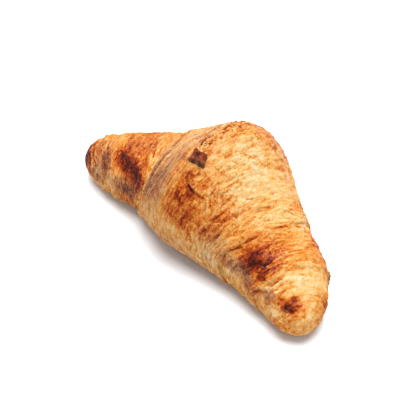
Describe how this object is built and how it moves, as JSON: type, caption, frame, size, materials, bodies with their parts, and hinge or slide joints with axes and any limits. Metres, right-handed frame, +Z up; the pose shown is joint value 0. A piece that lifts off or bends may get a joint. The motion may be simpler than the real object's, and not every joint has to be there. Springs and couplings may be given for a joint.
{
  "type": "croissant",
  "caption": "Straight baked croissant with a high rounded crown, overlapping rolled wraps, a small raised tab on the crown, blunt tapering arms and a flat underside.",
  "frame": {"origin": "on the flat underside, straight below the highest part of the crown", "axes": "+X along the croissant from its left tip to its right tip as seen from its hollow front side, +Y towards its bulging back, +Z up out of the flat underside"},
  "size_m": [0.1709, 0.0784, 0.0617],
  "materials": {
    "baked_crust": "baked golden brown, satin with a thin egg glaze"
  },
  "bodies": {
    "root": {"croissant": "baked_crust"}
  },
  "joints": []
}
